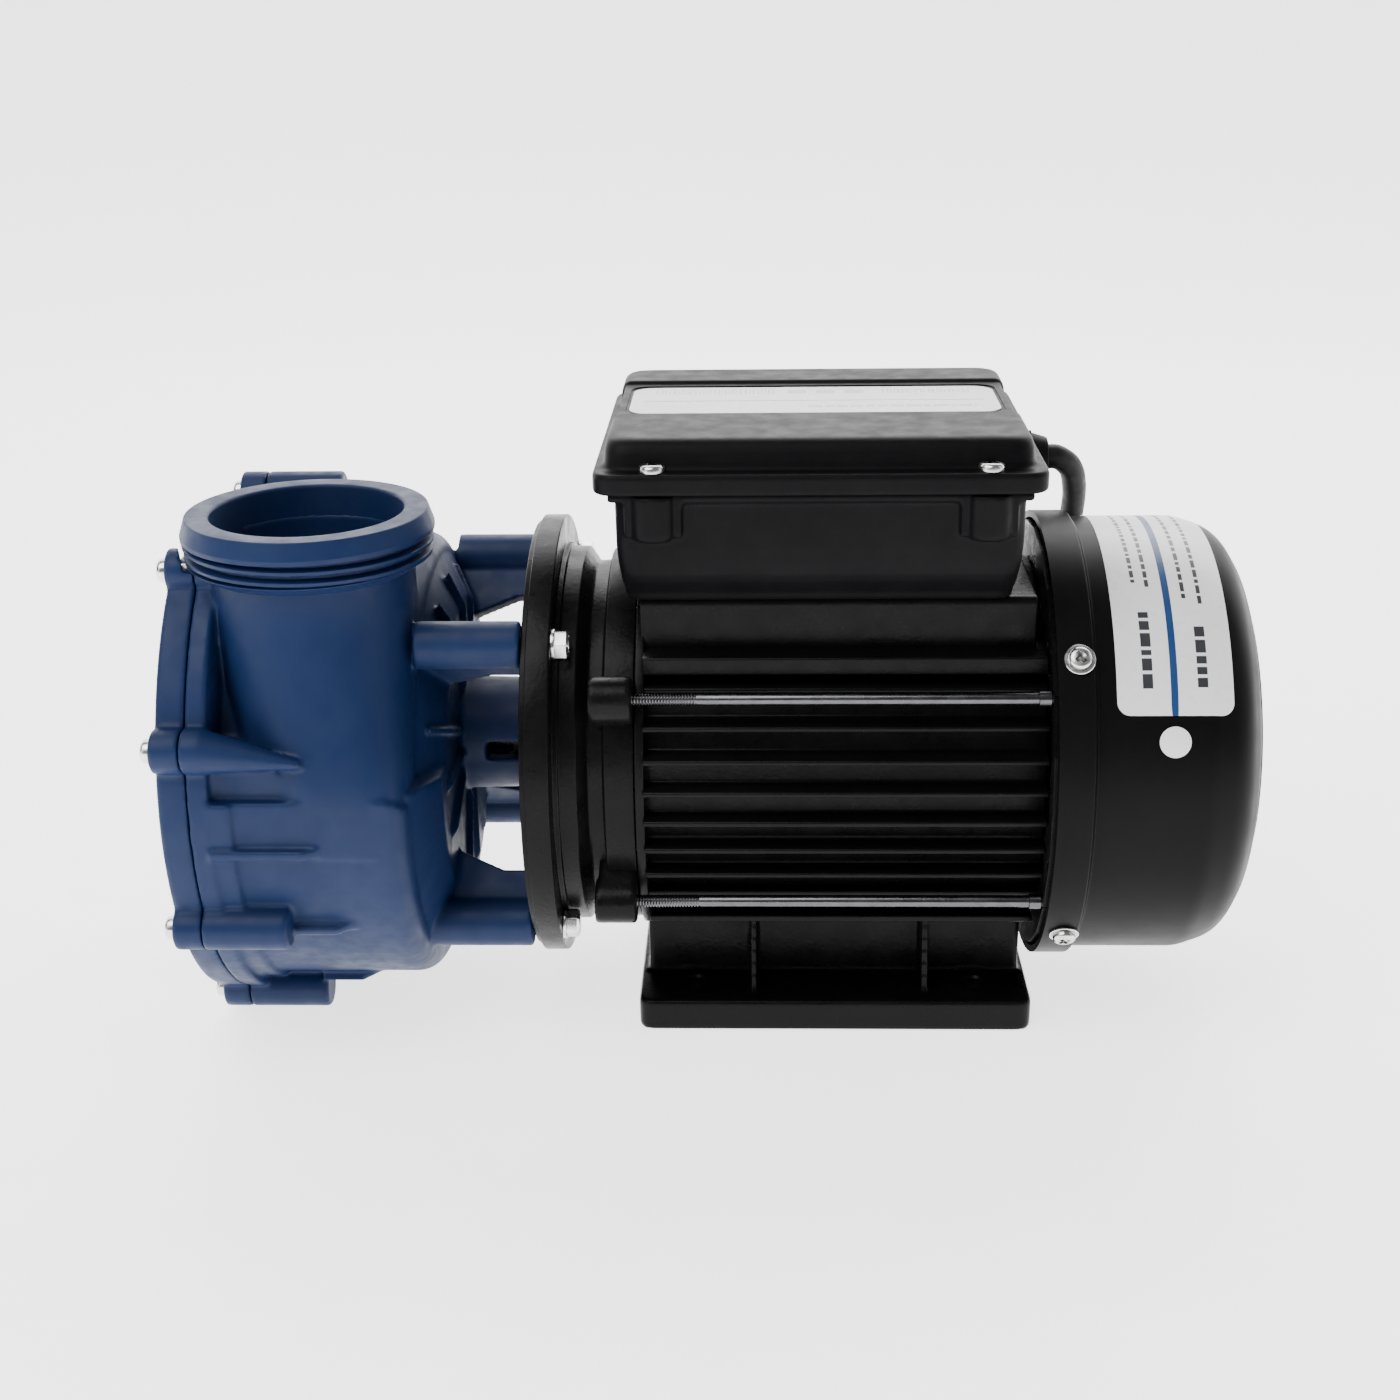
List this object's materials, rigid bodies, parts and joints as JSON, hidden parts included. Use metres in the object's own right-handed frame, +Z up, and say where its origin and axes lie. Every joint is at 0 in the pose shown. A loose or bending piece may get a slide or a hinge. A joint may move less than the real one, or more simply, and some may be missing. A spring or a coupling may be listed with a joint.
{
  "type": "pool pump",
  "caption": "Close-coupled electric pool pump: volute wet end with upward threaded discharge, finned foot-mounted motor, wiring box and fan cover.",
  "frame": {"origin": "centre of the foot's underside", "axes": "+X along the shaft from the wet end to the fan cover, +Z up, -Y the side that carries the discharge"},
  "size_m": [0.3354, 0.357, 0.1948],
  "materials": {
    "blue_plastic": "matt moulded",
    "rubber": "satin",
    "bolts": "polished",
    "steel": "ground",
    "ceramic": "lapped",
    "impeller_plastic": "moulded",
    "painted_casting": "satin black paint over die casting",
    "winding": "enamelled copper",
    "black_plastic": "moulded satin",
    "pale_plastic": "moulded"
  },
  "bodies": {
    "housing": {"front_cover": "blue_plastic", "volute_casing": "blue_plastic", "wear_ring": "impeller_plastic", "cover_oring": "rubber", "cover_bolt_1": "bolts", "cover_bolt_2": "bolts", "cover_bolt_3": "bolts", "cover_bolt_4": "bolts", "cover_bolt_5": "bolts", "cover_bolt_6": "bolts", "cover_bolt_7": "bolts", "cover_bolt_8": "bolts", "seal_seat": "ceramic", "front_end_bell": "painted_casting", "flange_bolt_1": "bolts", "flange_bolt_2": "bolts", "flange_bolt_3": "bolts", "flange_bolt_4": "bolts", "front_bearing_outer_ring": "steel", "rear_bearing_outer_ring": "steel", "stator_core": "steel", "front_winding": "winding", "rear_winding": "winding", "motor_frame": "painted_casting", "rear_end_shield": "painted_casting", "wave_spring": "steel", "fan_cover": "black_plastic", "fan_cover_screw_1": "bolts", "fan_cover_screw_2": "bolts", "fan_cover_screw_3": "bolts", "fan_cover_screw_4": "bolts", "tie_rod_1": "bolts", "tie_rod_2": "bolts", "tie_rod_3": "bolts", "tie_rod_4": "bolts", "terminal_box": "black_plastic", "box_gasket": "rubber", "box_lid": "black_plastic", "lid_screw_1": "bolts", "lid_screw_2": "bolts", "lid_screw_3": "bolts", "lid_screw_4": "bolts", "run_capacitor": "pale_plastic", "terminal_block": "pale_plastic", "cable_gland": "black_plastic", "power_cord": "rubber", "cord_coil": "rubber", "cord_tail": "rubber", "cord_plug": "rubber"},
    "rotor": {"impeller": "impeller_plastic", "seal_head": "rubber", "water_slinger": "rubber", "motor_shaft": "steel", "front_bearing_inner_ring": "steel", "rear_bearing_inner_ring": "steel", "rotor_core": "steel", "cooling_fan": "black_plastic"}
  },
  "joints": [
    {"name": "shaft_spin", "type": "hinge", "parent": "housing", "child": "rotor", "pos_m": [0, 0, 0.085], "axis": [1, 0, 0], "continuous": true}
  ]
}
